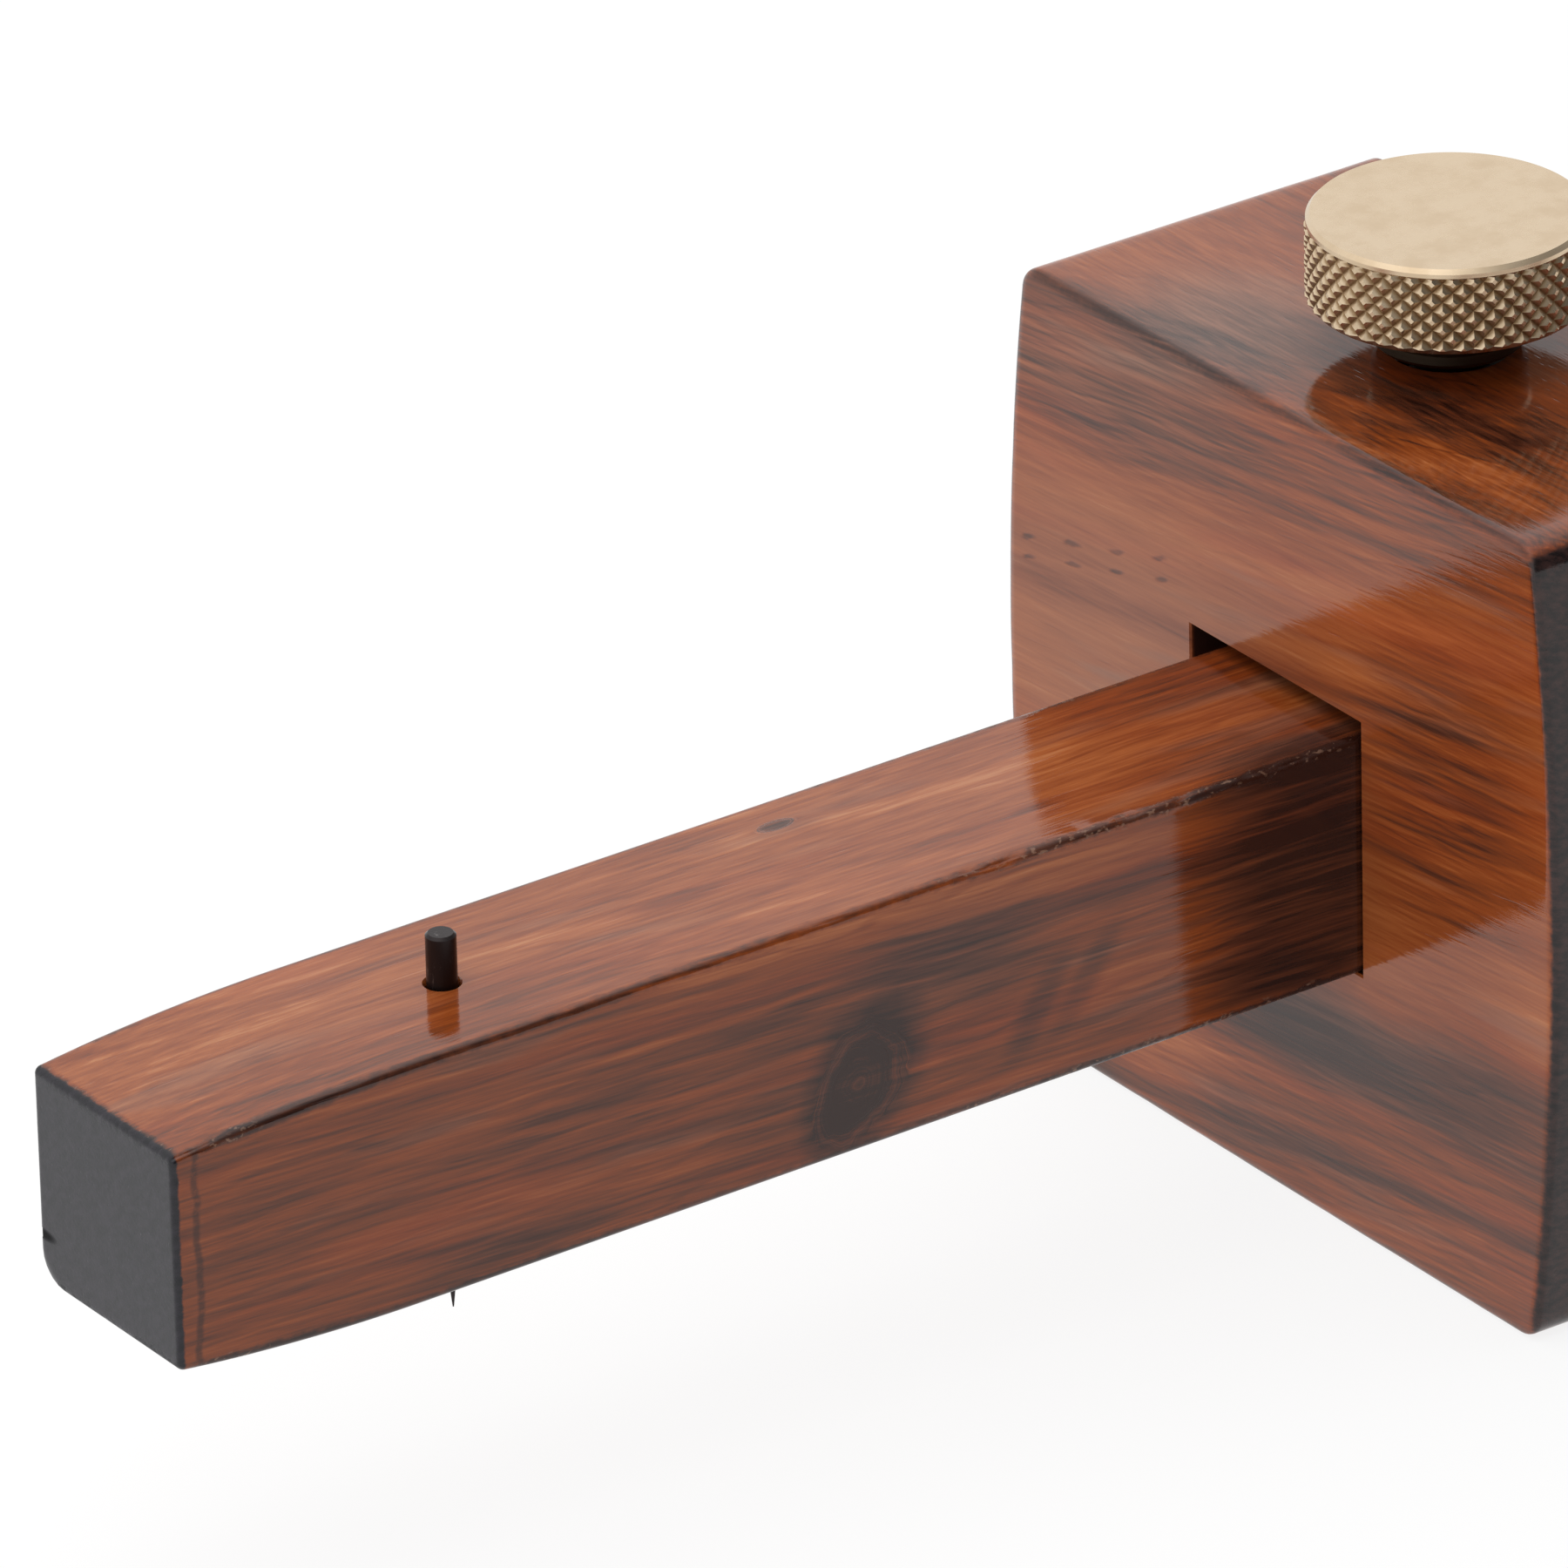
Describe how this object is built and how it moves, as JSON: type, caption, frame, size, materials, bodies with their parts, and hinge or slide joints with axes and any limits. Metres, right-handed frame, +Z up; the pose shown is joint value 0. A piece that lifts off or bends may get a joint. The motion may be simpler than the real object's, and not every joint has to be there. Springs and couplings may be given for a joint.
{
  "type": "marking gauge",
  "caption": "Wooden marking gauge: a square beam with a steel scribing pin slides through a fence and is clamped by a knurled brass thumbscrew.",
  "frame": {"origin": "centre of the fence's flat base, under the thumbscrew's axis", "axes": "+Z up along the thumbscrew's axis; the beam runs along X with its scribing pin towards -X, and the fence's working face looks along -X; +Y completes the right-handed frame"},
  "size_m": [0.2001, 0.065, 0.073],
  "materials": {
    "fence_rosewood": "gloss varnish",
    "beam_rosewood": "gloss varnish",
    "pin_steel": "blackened, hardened",
    "insert_brass": "turned",
    "stud_steel": "oiled, threaded",
    "knob_brass": "turned top, diamond knurled rim",
    "shoe_brass": "sawn and filed"
  },
  "bodies": {
    "fence": {"fence": "fence_rosewood", "threaded_insert": "insert_brass"},
    "beam": {"beam": "beam_rosewood", "scribing_pin": "pin_steel"},
    "shoe": {"pressure_shoe": "shoe_brass"},
    "thumbscrew": {"thumbscrew_knob": "knob_brass", "thumbscrew_stud": "stud_steel"}
  },
  "joints": [
    {"name": "beam_slide", "type": "slide", "parent": "fence", "child": "beam", "axis": [1, 0, 0], "range_m": [-0.067, 0.071]},
    {"name": "shoe_slide", "type": "slide", "parent": "fence", "child": "shoe", "axis": [0, 0, 1], "range_m": [0, 0.002]},
    {"name": "thumbscrew_turn", "type": "hinge", "parent": "shoe", "child": "thumbscrew", "pos_m": [0, 0, 0.065], "axis": [0, 0, 1], "range_deg": [0, 720]}
  ],
  "couplings": [
    {"joint": "thumbscrew_turn", "follows": "shoe_slide", "rad_per_m": 6283.2}
  ]
}
